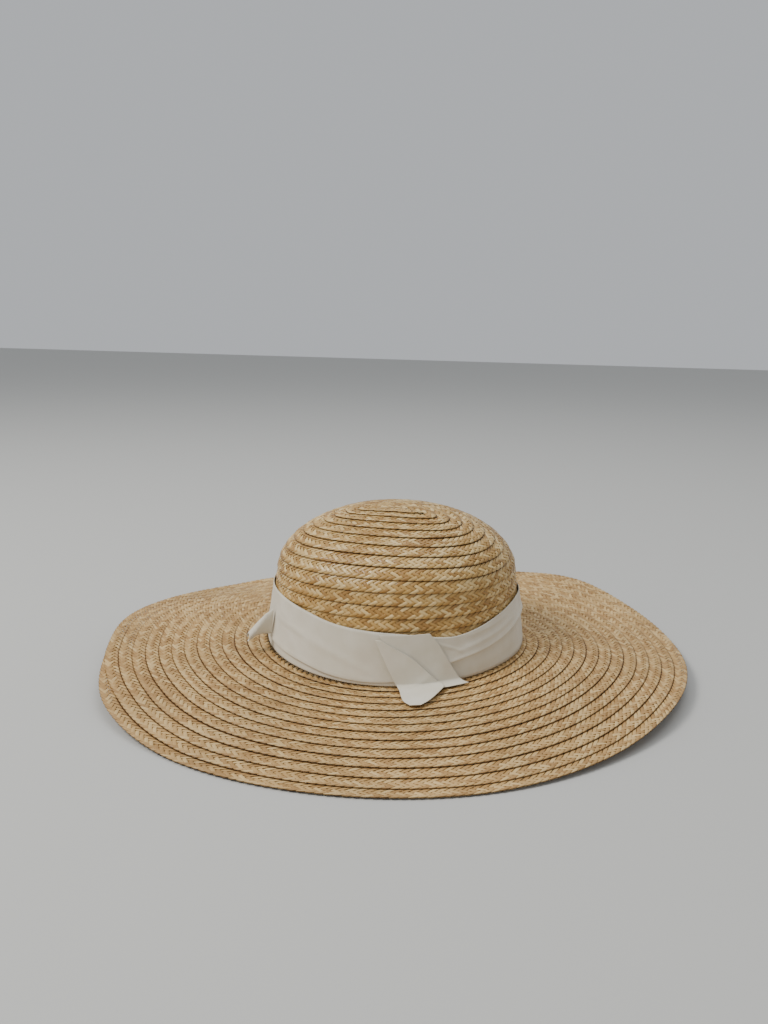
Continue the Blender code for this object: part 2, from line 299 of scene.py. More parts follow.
def brim_pitch(azimuth):
    """How wide each of the brim's rows is there."""

    def pitch_at(place):
        past_end = ((place - END_AZIMUTH) % 360.0) / 360.0
        return brim_edge(place)[0] / (RIM_ROW - past_end)

    low, high = END_AZIMUTH - END_TAPER, END_AZIMUTH + END_TAPER
    turn = azimuth % 360.0
    inside = (turn > low) & (turn < high)
    nearest = np.where(inside, np.where(turn < END_AZIMUTH, low, high), turn)
    share = (turn - low) / (high - low)
    blended = pitch_at(low) + (pitch_at(high) - pitch_at(low)) * share
    return np.where(inside, blended, pitch_at(nearest))


def brim_row_place(row, azimuth):
    """A point of the middle of the brim's thickness on that row."""
    reach, lift = brim_edge(azimuth)
    beyond = row * brim_pitch(azimuth)
    share = beyond / reach
    seat = foot_height(azimuth) - STRAW_WALL
    bend = np.clip(share / (1.0 - FLAT_RIM / reach), 0.0, 1.0) ** BRIM_DROOP_POWER
    angle = np.radians(azimuth)
    return np.stack(
        [
            (CROWN_HALF_LENGTH + beyond) * np.cos(angle),
            (CROWN_HALF_WIDTH + beyond) * np.sin(angle),
            seat + (lift - seat) * bend + BRIM_RISE,
        ],
        axis=-1,
    )


def row_place(row, azimuth):
    """A point of the straw's middle surface: of the crown below row zero, of the brim above it."""
    crown = crown_row_place(np.minimum(row, 0.0), azimuth)
    brim = brim_row_place(np.maximum(row, 0.0), azimuth)
    return np.where((row > 0.0)[..., None], brim, crown)


def row_outward(row, azimuth):
    """The outward direction of the straw's surface there."""
    step, turn = 0.02, 0.2
    on_brim = row > 0.0
    low = np.where(on_brim, np.maximum(row - step, 0.001), row - step)
    high = np.where(on_brim, row + step, np.minimum(row + step, 0.0))
    down = row_place(high, azimuth) - row_place(low, azimuth)
    aside = row_place(row, azimuth + turn) - row_place(row, azimuth - turn)
    outward = np.cross(down, aside)
    outward /= np.linalg.norm(outward, axis=-1, keepdims=True) + 1e-12
    up = np.where(row < TIP_ROW / 2, 1.0, 0.0)
    flip = np.where(outward[..., 2] * (up + on_brim) < 0.0, -1.0, 1.0)
    return outward * flip[..., None]


def wander(turn, seed, steps=((0.9, 1.0), (2.3, 0.6), (5.1, 0.35))):
    """A slow hand-made waver along the plait, about one high."""
    found = np.zeros_like(turn)
    for i, (times, size) in enumerate(steps):
        found += size * np.sin(turn * times * 2 * math.pi + seed * (i + 1.7))
    return found


def plait_edge(turn):
    """The plait's outer edge after that many turns: row and azimuth."""
    return ROW_PHASE + turn, (-turn * 360.0) % 360.0


def plait_points(turn, across):
    """Points on the plait's middle surface, with their outward directions; across is 0 at its outer edge."""
    row, azimuth = plait_edge(turn)
    rim = brim_edge(azimuth)[0] / brim_pitch(azimuth)
    tucked = np.clip(row - rim, 0.0, 1.0) * (row > RIM_ROW - 1.0)
    outer = row - tucked + 0.02 * wander(turn, 1.0)
    at = outer[:, None] - (1.0 + PLAIT_LAP) * across[None, :]
    azimuths = np.broadcast_to(azimuth[:, None], at.shape)
    place = row_place(at, azimuths)
    outward = row_outward(at, azimuths)
    settled = np.clip((turn - TIP_TURN) / 0.6, 0.0, 1.0)[:, None]
    tilt = 0.5 - across[None, :] * settled - 1.2 * tucked[:, None]
    sunk = np.where(at < 0.0, CROWN_DEPTH, 0.0)
    place = place + outward * (PLAIT_THICK * tilt - sunk)[..., None]
    return place, outward


TIP_TURN = TIP_ROW - ROW_PHASE - START_TURN + 0.2
RIM_TURN = RIM_ROW - ROW_PHASE


def plait_route():
    """Turns at even steps along the plait, and the way along it in metres."""
    turn = np.arange(TIP_TURN, RIM_TURN + 0.05, 1 / 360)
    middle, _ = plait_points(turn, np.array([0.5]))
    step = np.linalg.norm(np.diff(middle[:, 0], axis=0), axis=-1)
    return turn, np.concatenate([[0.0], np.cumsum(step)])


ROUTE_TURN, ROUTE_WAY = plait_route()


def way_at_row(row):
    """How far along the plait its outer edge comes to that row."""
    return float(np.interp(row - ROW_PHASE, ROUTE_TURN, ROUTE_WAY))


def new_mesh_object(name, points, faces):
    mesh = bpy.data.meshes.new(name)
    mesh.from_pydata([tuple(p) for p in points], [], faces)
    mesh.update()
    made = bpy.data.objects.new(name, mesh)
    bpy.context.scene.collection.objects.link(made)
    return made


def grid_faces(rows, columns):
    faces = []
    for i in range(rows - 1):
        for j in range(columns - 1):
            first = i * columns + j
            faces.append((first, first + columns, first + columns + 1, first + 1))
    return faces


def row_ribbon(name, start_way, end_way):
    """The surface that a stretch of plait follows, with its way and its share across as a UV map."""
    count = max(int((end_way - start_way + 2 * END_MARGIN) / STATION), 8)
    ways = np.linspace(start_way - END_MARGIN, end_way + END_MARGIN, count)
    inside = np.clip(ways, 0.0, ROUTE_WAY[-1])
    turn = np.interp(inside, ROUTE_WAY, ROUTE_TURN)
    across = np.linspace(-ROW_MARGIN, 1.0 + ROW_MARGIN, ROW_DIVISIONS + 1)
    place, outward = plait_points(turn, across)
    ahead = np.gradient(place, axis=0)
    ahead /= np.linalg.norm(ahead, axis=-1, keepdims=True) + 1e-12
    place = place + ahead * (ways - inside)[:, None, None]
    place = place - np.array([*PLAN_MIDDLE, 0.0])
    columns = len(across)
    made = new_mesh_object(name, place.reshape(-1, 3), grid_faces(count, columns))
    attribute = made.data.attributes.new("outward", "FLOAT_VECTOR", "POINT")
    attribute.data.foreach_set("vector", outward.reshape(-1).astype(np.float32))
    where = np.stack(np.broadcast_arrays(ways[:, None], across[None, :]), axis=-1).reshape(-1, 2)
    corner = np.zeros(len(made.data.loops), np.int32)
    made.data.loops.foreach_get("vertex_index", corner)
    uv = made.data.uv_layers.new(name="row")
    uv.data.foreach_set("uv", where[corner].reshape(-1).astype(np.float32))
    return made


def straw_stations(over_at_edge):
    """Along one straw from the outer edge inwards: share across, slant of the line, and depth."""
    crossing = (1.0 - 2 * FIRST_CROSSING) / 2.45
    found = [(0.0, 0.0, 0.2), (0.02, 0.25, 1.0)]
    for level in range(3):
        centre = FIRST_CROSSING + crossing * level
        sign = 1.0 if level % 2 == 0 else -1.0
        found.append((centre + crossing * WEAVE_STEP, 1.0, sign))
        if level < 2:
            found.append((centre + crossing * (1.0 - WEAVE_STEP), 1.0, -sign))
    found.append((0.985, 0.0, 1.0))
    turned = 1.0 if over_at_edge else -1.0
    return [(share, slant, depth * turned) for share, slant, depth in found], crossing


def plait_cell():
    """One pitch of the plait laid flat: a straw that leans left over one that leans right.

    X is the way along the plait, Y the share across it from the outer edge, and Z the height.
    """
    points, faces, uvs, kinds = [], [], [], []
    sections = ((-1.0, -0.35), (-0.72, 0.42), (0.0, 0.5), (0.72, 0.42), (1.0, -0.35))
    for kind, (lean, over) in enumerate(((-1.0, True), (1.0, False))):
        stations, crossing = straw_stations(over)
        half = STRAW_PITCH / 2 * STRAW_FILL
        for index, (share, slant, depth) in enumerate(stations):
            at_edge = index in (0, len(stations) - 1)
            for offset, height in sections:
                side = offset * half
                tilt = -lean * offset * STRAW_FILL * crossing / 2 * slant
                rounded = EDGE_ROUND * offset**2 if index == 0 else 0.0
                y = min(max(share + tilt, 0.0), 1.0) + rounded
                x = lean * (y - 0.5) * STRAW_PITCH / crossing + side
                z = WEAVE_DEPTH * depth + STRAW_THICK * height * (0.4 if at_edge else 1.0)
                points.append((x, y, z))
                uvs.append((share, offset))
                kinds.append(kind)
        first = len(points) - len(stations) * len(sections)
        width = len(sections)
        for i in range(len(stations) - 1):
            low, high = first + i * width, first + (i + 1) * width
            for j in range(width - 1):
                faces.append((low + j, low + j + 1, high + j + 1, high + j))
            faces.append((low + width - 1, low, high, high + width - 1))
        faces.append(tuple(first + j for j in reversed(range(width))))
        faces.append(tuple(first + (len(stations) - 1) * width + j for j in range(width)))
    # Across runs inwards on a row, which mirrors the cell, so its faces are turned round here
    made = new_mesh_object("plait_cell", points, [face[::-1] for face in faces])
    mesh = made.data
    uv = mesh.uv_layers.new(name="straw")
    for loop, spot in zip(mesh.loops, uv.data):
        spot.uv = uvs[loop.vertex_index]
    attribute = mesh.attributes.new("kind", "INT", "POINT")
    attribute.data.foreach_set("value", kinds)
    mesh.polygons.foreach_set("use_smooth", [True] * len(mesh.polygons))
    return made


def wall_place(azimuth, above, outward):
    """A point that far outward from the crown's plain wall, at that height above its foot."""
    foot = foot_height(azimuth)
    radius = CROWN_HALF_WIDTH - WALL_LEAN * above / (SHOULDER_HEIGHT - foot)
    longer = (CROWN_HALF_LENGTH - CROWN_HALF_WIDTH) * np.sqrt(np.minimum(radius / CROWN_HALF_WIDTH, 1.0))
    angle = np.radians(azimuth)
    return np.stack(
        [
            (radius + longer + outward) * np.cos(angle),
            (radius + outward) * np.sin(angle),
            foot + above,
        ],
        axis=-1,
    )


def teeth(way):
    """Teeth of a pinked edge along that way, from 0 to 1."""
    return np.abs((way / PINK_PITCH) % 1.0 * 2.0 - 1.0)


def band_folds(azimuth, above):
    """How far the pressed folds stand out there."""
    found = np.zeros(np.broadcast(azimuth, above).shape)
    for start, start_height, end, end_height, width, depth in BAND_FOLDS:
        share = ((azimuth - start) % 360.0) / ((end - start) % 360.0)
        middle = start_height + (end_height - start_height) * share
        fading = np.where(share < 1.0, np.sin(np.pi * np.clip(share, 0.0, 1.0)) ** 0.6, 0.0)
        found += depth * fading * np.exp(-(((above - middle) / width) ** 2))
    return found + BAND_WAVE * (1.0 + np.sin(7 * np.radians(azimuth) + 160 * above))


def cloth_mesh(name, shells, look, closed=False):
    """One piece of cloth from grids of front and back points, with each point's place on the cloth in metres.

    A closed one joins its last column to its first.
    """
    points, faces, corners, rounded = [], [], [], []
    for front, back, cloth in shells:
        rows, columns = cloth.shape[:2]
        whole = columns - 1 if closed else columns
        first = len(points)
        under = first + rows * whole
        points += front[:, :whole].reshape(-1, 3).tolist()
        points += back[:, :whole].reshape(-1, 3).tolist()

        def number(start, spot):
            return start + spot[0] * whole + spot[1] % whole

        for i in range(rows - 1):
            for j in range(columns - 1):
                square = ((i, j), (i + 1, j), (i + 1, j + 1), (i, j + 1))
                for start, spots in ((first, square), (under, square[::-1])):
                    faces.append([number(start, spot) for spot in spots])
                    corners += [cloth[spot] for spot in spots]
                    rounded.append(True)
        rim = [((0, j), (0, j + 1)) for j in range(columns - 1)]
        rim += [((rows - 1, j + 1), (rows - 1, j)) for j in range(columns - 1)]
        if not closed:
            rim += [((i, columns - 1), (i + 1, columns - 1)) for i in range(rows - 1)]
            rim += [((i + 1, 0), (i, 0)) for i in range(rows - 1)]
        for a, b in rim:
            faces.append([number(first, a), number(first, b), number(under, b), number(under, a)])
            corners += [cloth[a], cloth[b], cloth[b], cloth[a]]
            rounded.append(False)
    made = new_mesh_object(name, np.array(points) - np.array([*PLAN_MIDDLE, 0.0]), faces)
    uv = made.data.uv_layers.new(name="cloth")
    uv.data.foreach_set("uv", np.array(corners, np.float32).reshape(-1))
    made.data.polygons.foreach_set("use_smooth", rounded)
    made.data.materials.append(look)
    return made


def folded_strip(azimuth, way, bottom, heights, middles):
    """Front and back of a strip round the crown, through lines of height and of distance from the straw."""
    heights, middles = np.array(heights), np.array(middles)
    azimuths = np.broadcast_to(azimuth, heights.shape)
    middles = middles + band_folds(azimuths, heights) * np.clip((heights - bottom) / FOLD_FADE, 0.0, 1.0)
    down, out = np.gradient(heights, axis=0), np.gradient(middles, axis=0)
    length = np.hypot(down, out)
    aside_height = out / length * CLOTH_THICK / 2
    aside_out = -down / length * CLOTH_THICK / 2
    seat = ROW_STEP + GAP
    front = wall_place(azimuths, heights + aside_height, seat + middles + aside_out)
    back = wall_place(azimuths, heights - aside_height, seat + middles - aside_out)
    ways = np.broadcast_to(way, heights.shape)
    return front, back, np.stack([ways, np.cumsum(length, axis=0)], axis=-1)


def hat_band(look):
    """The band: its upper cloth turns back under itself at one long pleat and lies over the lower cloth."""
    azimuth = np.linspace(0.0, 360.0, round(2 * BAND_LENGTH / PINK_PITCH) + 1)
    way = azimuth / 360.0 * BAND_LENGTH
    top, pleat, depth = around(BAND_SECTIONS, azimuth)
    depth = np.clip(depth, 0.1, 1.0)
    top = top * BAND_WIDTH - PINK_DEPTH * teeth(way)
    bottom = BAND_FOOT + PINK_DEPTH * teeth(way)
    lip = BAND_WALL + depth * BAND_PLEAT - CLOTH_THICK / 2
    bend = np.clip((lip - TUCK_LEVEL) / 2, CLOTH_THICK / 2, FOLD_ROUND)
    turning = pleat * BAND_WIDTH + bend

    heights, middles = [], []
    for share in np.linspace(0.0, 1.0, UPPER_STEPS):
        height = top + (turning - top) * share
        swell = SWELL_OUT * share**2 + (1.0 - SWELL_OUT) * np.exp(-(height - turning) / LIP_HEIGHT)
        heights.append(height)
        middles.append(TOP_LEVEL + (lip - TOP_LEVEL) * swell)
    for angle in np.linspace(0.0, math.pi, BEND_STEPS)[1:]:
        heights.append(turning - bend * math.sin(angle))
        middles.append(lip - bend * (1.0 - math.cos(angle)))
    for share in (0.5, 1.0):
        heights.append(turning + PLEAT_TUCK * depth * share)
        middles.append(lip - 2 * bend)
    upper = folded_strip(azimuth, way, bottom, heights, middles)

    heights, middles = [], []
    for share in np.linspace(0.0, 1.0, LOWER_STEPS):
        heights.append(turning + LOWER_LAP + (bottom - turning - LOWER_LAP) * share)
        middles.append(np.full_like(azimuth, LOW_LEVEL + LOW_SWELL * math.sin(math.pi * share)))
    lower = folded_strip(azimuth, way, bottom, heights, middles)
    return cloth_mesh("hat_band_cloth", [upper, lower], look, closed=True)


def draped(azimuth, start_height, down, outward):
    """A point of a cloth end that hangs down the band, bends at the crown's foot and lies out on the brim."""
    on_wall = start_height - CLOTH_BEND
    turn = CLOTH_BEND * math.pi / 2
    layer = BAND_WALL + BAND_PLEAT + GAP + outward
    base = ROW_STEP + GAP
    hanging = wall_place(azimuth, start_height - np.minimum(down, on_wall), base + layer)
    past = np.maximum(down - on_wall, 0.0)
    angle = np.minimum(past / turn, 1.0) * math.pi / 2
    farther = CLOTH_BEND * (1.0 - np.cos(angle)) + np.maximum(past - turn, 0.0)
    bend = np.full_like(azimuth, CLOTH_BEND)
    bend_top = wall_place(azimuth, bend, base + layer)[..., 2]
    lying = wall_place(azimuth, bend, base + layer + farther)
    beyond = base + layer + farther
    reach, lift = brim_edge(azimuth)
    seat = foot_height(azimuth) - GAP - STRAW_WALL
    share = (beyond + STRAW_WALL) / (reach + STRAW_WALL)
    sag = np.minimum(share / (1.0 - FLAT_RIM / reach), 1.0) ** BRIM_DROOP_POWER
    rest = seat + (lift - seat) * sag + STRAW_WALL + ROW_STEP + GAP + outward
    lying[..., 2] = rest + (bend_top - rest) * (1.0 - np.sin(angle))
    return np.where((down <= on_wall)[..., None], hanging, lying)


def cloth_end(name, sections, length, top_share, layer, columns, swell, look, pinked_end=False):
    """A folded end of the band: a sheet with a pinked right edge, through its table's sections."""
    table = np.array(sections, float)
    shares = np.linspace(0.0, 1.0, round(4 * length / PINK_PITCH) + 1)
    edges = []
    for column in (1, 2):
        edge = np.interp(shares, table[:, 0], table[:, column])
        padded = np.pad(edge, EDGE_SMOOTH // 2, mode="edge")
        edges.append(np.convolve(padded, np.ones(EDGE_SMOOTH) / EDGE_SMOOTH, mode="valid"))
    left, right = edges
    right = right - math.degrees(PINK_DEPTH / CROWN_HALF_WIDTH) * teeth(shares * length)
    part = np.linspace(0.0, 1.0, columns)
    azimuths = left[:, None] + (right - left)[:, None] * part[None, :]
    down = np.repeat((shares * length)[:, None], columns, axis=1)
    if pinked_end:
        tooth = PINK_DEPTH * (np.arange(columns) % 2)
        down[-1] -= tooth
        down[-2] -= tooth / 2
    lifted = layer + swell(shares[:, None], part[None, :])
    start_height = top_share * BAND_WIDTH
    back = draped(azimuths, start_height, down, lifted)
    front = draped(azimuths, start_height, down, lifted + CLOTH_THICK)
    across = np.radians(azimuths - table[0, 1]) * CROWN_HALF_LENGTH
    return cloth_mesh(name, [(front, back, np.stack([across, down], axis=-1))], look)


def flap_swell(share, part):
    return 0.0002 + 0.0005 * part**2 * share + 0.0002 * np.sin(5.0 * part + 4.0 * share)


def tail_swell(share, part):
    crease = np.exp(-(((share - 0.62 + 0.22 * part) / 0.03) ** 2))
    return 0.0002 + 0.0009 * part**3 * np.sin(np.pi * share) + 0.0003 * crease + 0.0002 * np.sin(6.0 * share)


def side_tail(look):
    """The pinched end at the side: a small hood of cloth, open below, that stands out from the band."""
    table = np.array(SIDE_TAIL_SECTIONS, float)
    shares = np.linspace(0.0, 1.0, 25)
    height_share, mouth_share, drop_share = (np.interp(shares, table[:, 0], table[:, i]) for i in (1, 2, 3))
    turn = np.radians(np.linspace(*SIDE_TAIL_CURL, 33))[None, :]
    azimuth = np.array(SIDE_TAIL_AZIMUTH)
    layer = ROW_STEP + GAP + BAND_WALL + BAND_PLEAT + 2 * GAP
    start = wall_place(azimuth, np.array(SIDE_TAIL_ROOT_SHARE * BAND_WIDTH), layer)
    angle = math.radians(SIDE_TAIL_AZIMUTH)
    out = np.array([math.cos(angle) * CROWN_HALF_WIDTH, math.sin(angle) * CROWN_HALF_LENGTH, 0.0])
    out /= np.linalg.norm(out)
    aside = np.array([-out[1], out[0], 0.0])
    lean = WALL_LEAN / (SHOULDER_HEIGHT - foot_height(SIDE_TAIL_AZIMUTH))
    grids = []
    for inset in (0.0, CLOTH_THICK):
        wide = (mouth_share * SIDE_TAIL_MOUTH / 2)[:, None] + SHEET_WALL - inset
        tall = (height_share * SIDE_TAIL_HEIGHT / 2)[:, None] - inset
        sideways = wide * np.cos(turn)
        upward = tall * np.sin(turn)
        outward = (shares * SIDE_TAIL_LENGTH)[:, None] - lean * upward
        drop = (drop_share * SIDE_TAIL_LENGTH)[:, None]
        grids.append(
            start
            + out * outward[..., None]
            + aside * sideways[..., None]
            + np.array([0.0, 0.0, 1.0]) * (upward - drop)[..., None]
        )
    cloth = np.stack(np.broadcast_arrays((shares * SIDE_TAIL_LENGTH)[:, None], turn * 0.006), axis=-1)
    return cloth_mesh("side_tail_cloth", [(grids[0], grids[1], cloth)], look)


class Tree:
    """Short words for building a node tree."""

    def __init__(self, tree):
        self.tree = tree

    def add(self, kind, settings=None, **inputs):
        node = self.tree.nodes.new(kind)
        for name, value in (settings or {}).items():
            setattr(node, name, value)
        for name, value in inputs.items():
            self.put(node, name.replace("_", " "), value)
        return node

    def put(self, node, name, value):
        socket = node.inputs[int(name[1:])] if name[:1] == "n" and name[1:].isdigit() else node.inputs[name]
        if isinstance(value, bpy.types.NodeSocket):
            self.tree.links.new(value, socket)
        else:
            socket.default_value = value

    def math(self, operation, first, second=0.0):
        return self.add("ShaderNodeMath", {"operation": operation}, n0=first, n1=second).outputs[0]


def plait_tree():
    """Lays plait cells end to end and bends them onto a row ribbon."""
    group = bpy.data.node_groups.new("sewn_plait", "GeometryNodeTree")
    sockets = (
        ("Row", "NodeSocketGeometry", None),
        ("Cell", "NodeSocketObject", None),
        ("First cell", "NodeSocketInt", 0),
        ("Cells", "NodeSocketInt", 10),
        ("Pitch", "NodeSocketFloat", STRAW_PITCH),
        ("Loose straw", "NodeSocketFloat", 0.00007),
        ("Twist", "NodeSocketFloat", 0.00009),
        ("Seed", "NodeSocketInt", 4),
        ("Straw", "NodeSocketMaterial", None),
    )
    for name, kind, value in sockets:
        socket = group.interface.new_socket(name, in_out="INPUT", socket_type=kind)
        if value is not None:
            socket.default_value = value
    group.interface.new_socket("Plait", in_out="OUTPUT", socket_type="NodeSocketGeometry")
    t = Tree(group)
    given = t.add("NodeGroupInput").outputs
    step = t.add("ShaderNodeCombineXYZ", X=given["Pitch"]).outputs[0]
    start = t.add(
        "ShaderNodeCombineXYZ", X=t.math("MULTIPLY", given["First cell"], given["Pitch"])
    ).outputs[0]
    line = t.add(
        "GeometryNodeMeshLine",
        {"mode": "OFFSET"},
        Count=given["Cells"],
        Start_Location=start,
        Offset=step,
    ).outputs[0]
    cell = t.add("GeometryNodeObjectInfo", Object=given["Cell"]).outputs["Geometry"]
    laid = t.add("GeometryNodeInstanceOnPoints", Points=line, Instance=cell).outputs[0]
    number = t.math("ADD", t.add("GeometryNodeInputIndex").outputs[0], given["First cell"])
    numbered = t.add(
        "GeometryNodeStoreNamedAttribute",
        {"data_type": "INT", "domain": "INSTANCE"},
        Geometry=laid,
        Name="cell",
        Value=number,
    ).outputs[0]
    real = t.add("GeometryNodeRealizeInstances", Geometry=numbered).outputs[0]

    def named(name, kind):
        return t.add("GeometryNodeInputNamedAttribute", {"data_type": kind}, Name=name).outputs[0]

    straw_number = t.math("ADD", t.math("MULTIPLY", named("cell", "INT"), 2.0), named("kind", "INT"))

    def chance(low, high, more):
        node = t.add("FunctionNodeRandomValue", {"data_type": "FLOAT"}, ID=straw_number)
        node.inputs[2].default_value = low
        node.inputs[3].default_value = high
        t.put(node, "Seed", t.math("ADD", given["Seed"], more))
        return node.outputs[1]

    def kept(geometry, name, value, kind="FLOAT"):
        return t.add(
            "GeometryNodeStoreNamedAttribute",
            {"data_type": kind, "domain": "POINT"},
            Geometry=geometry,
            Name=name,
            Value=value,
        ).outputs[0]

    place = t.add("GeometryNodeInputPosition").outputs[0]
    parts = t.add("ShaderNodeSeparateXYZ", Vector=place).outputs
    toned = kept(real, "tone", chance(0.0, 1.0, 1.0))
    shaded = kept(toned, "shade", chance(0.0, 1.0, 2.0))
    lapped = kept(shaded, "lap", parts["Y"])
    where = t.add("ShaderNodeCombineXYZ", X=parts["X"], Y=parts["Y"]).outputs[0]

    def on_row(value):
        return t.add(
            "GeometryNodeSampleUVSurface",
            {"data_type": "FLOAT_VECTOR"},
            Mesh=given["Row"],
            Value=value,
            Sample_UV=where,
            n2=named("row", "FLOAT_VECTOR"),
        ).outputs[0]

    ground = on_row(t.add("GeometryNodeInputPosition").outputs[0])
    outward = on_row(named("outward", "FLOAT_VECTOR"))
    straw = t.add("ShaderNodeSeparateXYZ", Vector=named("straw", "FLOAT_VECTOR")).outputs
    loose = t.math("MULTIPLY", chance(-1.0, 1.0, 3.0), given["Loose straw"])
    twist = t.math("MULTIPLY", t.math("MULTIPLY", chance(-1.0, 1.0, 4.0), given["Twist"]), straw["Y"])
    height = t.math("ADD", t.math("ADD", parts["Z"], loose), twist)
    raised = t.add("ShaderNodeVectorMath", {"operation": "SCALE"}, Vector=outward, Scale=height).outputs[0]
    target = t.add("ShaderNodeVectorMath", {"operation": "ADD"}, n0=ground, n1=raised).outputs[0]
    bent = t.add("GeometryNodeSetPosition", Geometry=lapped, Position=target).outputs[0]
    done = t.add("GeometryNodeSetMaterial", Geometry=bent, Material=given["Straw"]).outputs[0]
    t.add("NodeGroupOutput", Plait=done)
    return group


def set_inputs(modifier, values):
    sockets = {s.name: s.identifier for s in modifier.node_group.interface.items_tree if s.in_out == "INPUT"}
    for name, value in values.items():
        modifier[sockets[name]] = value


def sewn_plait(name, group, cell, look, start_row, end_row):
    """One stretch of the plait as a plain mesh."""
    start_way = max(way_at_row(start_row), 0.0)
    end_way = min(way_at_row(end_row), ROUTE_WAY[-1])
    first = math.ceil(start_way / STRAW_PITCH)
    last = math.ceil(end_way / STRAW_PITCH)
    ribbon = row_ribbon(name + "_row", first * STRAW_PITCH, last * STRAW_PITCH)
    modifier = ribbon.modifiers.new("plait", "NODES")
    modifier.node_group = group
    set_inputs(modifier, {"Cell": cell, "First cell": first, "Cells": last - first, "Straw": look})
    cell.data.materials.clear()
    cell.data.materials.append(look)
    bpy.context.view_layer.update()
    evaluated = ribbon.evaluated_get(bpy.context.evaluated_depsgraph_get())
    mesh = bpy.data.meshes.new_from_object(evaluated)
    mesh.name = name
    made = bpy.data.objects.new(name, mesh)
    bpy.context.scene.collection.objects.link(made)
    bpy.data.objects.remove(ribbon, do_unlink=True)
    return made


def straw_material(name, dark, middle, light, roughness, lap_shadow):
    made = bpy.data.materials.new(name)
    made.use_nodes = True
    t = Tree(made.node_tree)
    shader = made.node_tree.nodes["Principled BSDF"]
    shader.inputs["Roughness"].default_value = roughness
    shader.inputs["Specular IOR Level"].default_value = 0.5

    def attribute(name):
        return t.add("ShaderNodeAttribute", {"attribute_name": name}).outputs["Fac"]

    tone, shade = attribute("tone"), attribute("shade")
    lap = attribute("lap")
    spot = t.add("ShaderNodeUVMap", {"uv_map": "straw"}).outputs[0]
    parts = t.add("ShaderNodeSeparateXYZ", Vector=spot).outputs
    streak_place = t.add(
        "ShaderNodeCombineXYZ",
        X=t.math("MULTIPLY", parts["X"], 1.6),
        Y=t.math("MULTIPLY", parts["Y"], 5.0),
        Z=t.math("MULTIPLY", tone, 90.0),
    ).outputs[0]
    noise = t.add("ShaderNodeTexNoise", Vector=streak_place, Scale=1.0, Detail=3.0, Roughness=0.6)
    streaks = noise.outputs[0]
    mixed = t.math("ADD", t.math("MULTIPLY", tone, 0.75), t.math("MULTIPLY", streaks, 0.28))
    ramp = t.add("ShaderNodeValToRGB", n0=mixed)
    ramp.color_ramp.elements[0].position = 0.08
    ramp.color_ramp.elements[0].color = (*dark, 1.0)
    ramp.color_ramp.elements[1].position = 0.95
    ramp.color_ramp.elements[1].color = (*light, 1.0)
    centre = ramp.color_ramp.elements.new(0.5)
    centre.color = (*middle, 1.0)
    place = t.add("ShaderNodeTexCoord").outputs["Object"]
    stains = t.add("ShaderNodeTexNoise", Vector=place, Scale=14.0, Detail=2.0).outputs[0]
    fade = t.add("ShaderNodeMapRange", Value=stains, n1=0.3, n2=0.7, n3=0.86, n4=1.08).outputs[0]
    soft = {"interpolation_type": "SMOOTHSTEP"}
    # Painted shadow of the laps: the straw's colour turns dark brown where it runs under the row inside it,
    # and part way so along its outer edge, which lies over the next row.
    under = t.add("ShaderNodeMapRange", soft, Value=lap, n1=0.80, n2=0.90, n3=0.0, n4=1.0).outputs[0]
    edge = t.add("ShaderNodeMapRange", soft, Value=lap, n1=0.035, n2=0.0, n3=0.0, n4=0.55).outputs[0]
    times = {"data_type": "RGBA", "blend_type": "MULTIPLY"}
    dimmed = t.add("ShaderNodeMix", times, n0=1.0, n6=ramp.outputs[0])
    made.node_tree.links.new(fade, dimmed.inputs[7])
    lap_shadow_mask = t.math("MAXIMUM", under, edge)
    lap_shadowed = t.add("ShaderNodeMix", {"data_type": "RGBA"}, n0=lap_shadow_mask, n6=dimmed.outputs[2], n7=(*lap_shadow, 1.0))
    made.node_tree.links.new(lap_shadowed.outputs[2], shader.inputs["Base Color"])
    gloss = t.add("ShaderNodeMapRange", Value=shade, n3=roughness - 0.08, n4=roughness + 0.14).outputs[0]
    made.node_tree.links.new(gloss, shader.inputs["Roughness"])
    bump = t.add("ShaderNodeBump", Strength=0.35, Distance=0.0002, Height=streaks)
    made.node_tree.links.new(bump.outputs[0], shader.inputs["Normal"])
    return made


def cotton_material():
    made = bpy.data.materials.new("cotton_cloth")
    made.use_nodes = True
    t = Tree(made.node_tree)
    shader = made.node_tree.nodes["Principled BSDF"]
    shader.inputs["Roughness"].default_value = 0.92
    shader.inputs["Sheen Weight"].default_value = 0.25
    shader.inputs["Sheen Roughness"].default_value = 0.5
    shader.inputs["Specular IOR Level"].default_value = 0.25
    cloth = t.add("ShaderNodeUVMap", {"uv_map": "cloth"}).outputs[0]
    parts = t.add("ShaderNodeSeparateXYZ", Vector=cloth).outputs

    def threads(way, pitch):
        return t.math("ABSOLUTE", t.math("SINE", t.math("MULTIPLY", way, math.pi / pitch)))

    weave = t.math("ADD", threads(parts["X"], 0.00055), t.math("MULTIPLY", threads(parts["Y"], 0.00045), 0.7))
    fuzz = t.add("ShaderNodeTexNoise", Vector=cloth, Scale=1400.0, Detail=2.0).outputs[0]
    slubs = t.add("ShaderNodeTexNoise", Vector=cloth, Scale=60.0, Detail=4.0).outputs[0]
    marks = t.add("ShaderNodeMapRange", Value=slubs, n1=0.35, n2=0.7).outputs[0]
    shadier, paler = (0.67, 0.62, 0.50, 1), (0.74, 0.70, 0.59, 1)
    color = t.add("ShaderNodeMix", {"data_type": "RGBA"}, n0=marks, n6=shadier, n7=paler)
    made.node_tree.links.new(color.outputs[2], shader.inputs["Base Color"])
    height = t.math("ADD", weave, t.math("MULTIPLY", fuzz, 1.2))
    bump = t.add("ShaderNodeBump", Strength=0.5, Distance=0.00012, Height=height)
    made.node_tree.links.new(bump.outputs[0], shader.inputs["Normal"])
    return made


